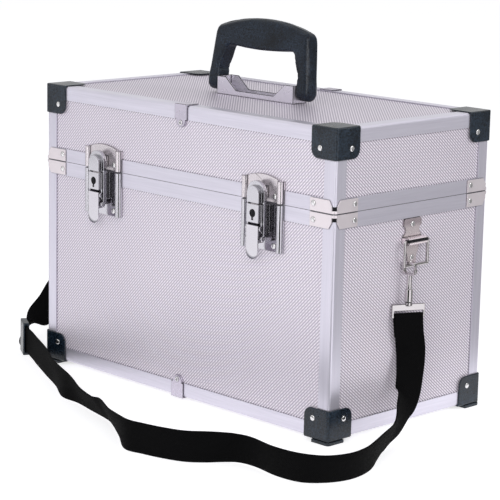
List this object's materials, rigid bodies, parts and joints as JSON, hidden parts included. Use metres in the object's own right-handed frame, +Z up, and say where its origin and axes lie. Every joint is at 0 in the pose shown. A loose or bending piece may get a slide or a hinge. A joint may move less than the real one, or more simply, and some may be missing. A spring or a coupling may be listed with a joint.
{
  "type": "hairdressing case",
  "caption": "Silver aluminium framed hairdressing case with black corner caps, key latches, a folding handle and a clip-on black shoulder strap.",
  "frame": {"origin": "on the floor under the middle of the case", "axes": "+X to the right along the front, +Y from the front with the latches to the hinged back, +Z up"},
  "size_m": [0.5253, 0.3445, 0.3421],
  "materials": {
    "panel": "satin sheet embossed with a fine diagonal grain",
    "profile": "satin anodised",
    "nickel": "bright nickel plate on steel",
    "black_plastic": "moulded, slightly glossy",
    "lining": "thin foam faced with black cloth",
    "webbing": "black woven webbing",
    "lock_core": "dark metal"
  },
  "bodies": {
    "base": {"base_front_panel": "panel", "base_back_panel": "panel", "base_left_panel": "panel", "base_right_panel": "panel", "base_bottom_panel": "panel", "base_uprights": "profile", "base_bottom_profiles": "profile", "base_rim": "profile", "base_seam_plates": "nickel", "base_clips": "nickel", "base_rivets": "nickel", "base_lining": "lining", "cap_base_front_left": "black_plastic", "cap_base_front_right": "black_plastic", "cap_base_back_right": "black_plastic", "cap_base_back_left": "black_plastic", "hinge_base_leaves": "nickel", "hinge_pins": "nickel", "latch_bases": "nickel", "latch_pins": "nickel", "strap_brackets": "nickel", "strap_eye_left": "nickel", "strap_eye_right": "nickel", "strap": "webbing", "strap_slider": "black_plastic"},
    "lid": {"lid_front_panel": "panel", "lid_back_panel": "panel", "lid_left_panel": "panel", "lid_right_panel": "panel", "lid_top_panel": "panel", "lid_uprights": "profile", "lid_top_profiles": "profile", "lid_rim": "profile", "lid_seam_plates": "nickel", "lid_clips": "nickel", "lid_rivets": "nickel", "lid_lining": "lining", "cap_lid_front_left": "black_plastic", "cap_lid_front_right": "black_plastic", "cap_lid_back_right": "black_plastic", "cap_lid_back_left": "black_plastic", "hinge_lid_leaves": "nickel", "keepers": "nickel", "handle_bracket": "nickel", "handle_pins": "nickel"},
    "handle": {"handle": "black_plastic"},
    "lever_left": {"lever_left": "nickel"},
    "claw_left": {"claw_left": "nickel"},
    "lock_left": {"lock_left": "lock_core"},
    "ring_left": {"ring_left": "nickel"},
    "hook_left": {"hook_left": "nickel"},
    "gate_left": {"gate_left": "nickel"},
    "lever_right": {"lever_right": "nickel"},
    "claw_right": {"claw_right": "nickel"},
    "lock_right": {"lock_right": "lock_core"},
    "ring_right": {"ring_right": "nickel"},
    "hook_right": {"hook_right": "nickel"},
    "gate_right": {"gate_right": "nickel"}
  },
  "joints": [
    {"name": "lid_hinge", "type": "hinge", "parent": "base", "child": "lid", "pos_m": [0, 0.1036, 0.199], "axis": [-1, 0, 0], "range_deg": [0, 95]},
    {"name": "handle_fold", "type": "hinge", "parent": "lid", "child": "handle", "pos_m": [0, 0, 0.2815], "axis": [1, 0, 0], "range_deg": [-84, 96]},
    {"name": "lever_left_lift", "type": "hinge", "parent": "base", "child": "lever_left", "pos_m": [-0.105, -0.1095, 0.177], "axis": [-1, 0, 0], "range_deg": [0, 90]},
    {"name": "claw_left_swing", "type": "hinge", "parent": "lever_left", "child": "claw_left", "pos_m": [-0.105, -0.1085, 0.1685], "axis": [1, 0, 0], "range_deg": [0, 108]},
    {"name": "lock_left_turn", "type": "hinge", "parent": "base", "child": "lock_left", "pos_m": [-0.105, -0.1095, 0.19], "axis": [0, 1, 0], "range_deg": [0, 90]},
    {"name": "ring_left_swing", "type": "hinge", "parent": "base", "child": "ring_left", "pos_m": [-0.1934, 0, 0.166], "axis": [0, 1, 0], "range_deg": [0, 8]},
    {"name": "hook_left_swivel", "type": "hinge", "parent": "base", "child": "hook_left", "pos_m": [-0.1956, -0.01, 0.1434], "axis": [0, 0, 1], "range_deg": [-12, 12]},
    {"name": "gate_left_press", "type": "hinge", "parent": "hook_left", "child": "gate_left", "pos_m": [-0.2018, -0.01, 0.1409], "axis": [0, 1, 0], "range_deg": [0, 25], "stiffness_Nm_per_rad": 0.002, "springref_deg": -9.74},
    {"name": "lever_right_lift", "type": "hinge", "parent": "base", "child": "lever_right", "pos_m": [0.105, -0.1095, 0.177], "axis": [-1, 0, 0], "range_deg": [0, 90]},
    {"name": "claw_right_swing", "type": "hinge", "parent": "lever_right", "child": "claw_right", "pos_m": [0.105, -0.1085, 0.1685], "axis": [1, 0, 0], "range_deg": [0, 108]},
    {"name": "lock_right_turn", "type": "hinge", "parent": "base", "child": "lock_right", "pos_m": [0.105, -0.1095, 0.19], "axis": [0, 1, 0], "range_deg": [0, 90]},
    {"name": "ring_right_swing", "type": "hinge", "parent": "base", "child": "ring_right", "pos_m": [0.1934, 0, 0.166], "axis": [0, -1, 0], "range_deg": [0, 8]},
    {"name": "hook_right_swivel", "type": "hinge", "parent": "base", "child": "hook_right", "pos_m": [0.1956, -0.01, 0.1434], "axis": [0, 0, 1], "range_deg": [-12, 12]},
    {"name": "gate_right_press", "type": "hinge", "parent": "hook_right", "child": "gate_right", "pos_m": [0.2018, -0.01, 0.1409], "axis": [0, -1, 0], "range_deg": [0, 25], "stiffness_Nm_per_rad": 0.002, "springref_deg": -9.74}
  ],
  "couplings": [
    {"joint": "claw_left_swing", "follows": "lever_left_lift", "ratio": 1.2},
    {"joint": "claw_right_swing", "follows": "lever_right_lift", "ratio": 1.2}
  ]
}
